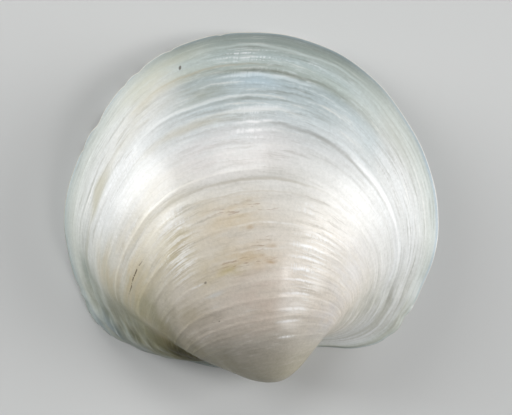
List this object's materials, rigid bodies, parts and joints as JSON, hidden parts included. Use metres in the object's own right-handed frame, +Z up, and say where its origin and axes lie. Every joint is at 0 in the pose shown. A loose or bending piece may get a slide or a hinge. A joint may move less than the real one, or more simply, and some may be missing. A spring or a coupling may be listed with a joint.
{
  "type": "lucinid clam shell valve",
  "caption": "Left valve of an inflated, toothless lucinid clam: a round white dome with concentric growth ledges and a forward-leaning beak, hollow below, resting on its flat margin.",
  "frame": {"origin": "middle of the valve's outline in plan, on the plane of its margin", "axes": "+X to the front end, where the beak leans; +Y from the beak to the lower margin; +Z up, out of the shell"},
  "size_m": [0.05, 0.0466, 0.0181],
  "materials": {
    "shell": "satin"
  },
  "bodies": {
    "root": {"left_valve": "shell"}
  },
  "joints": []
}
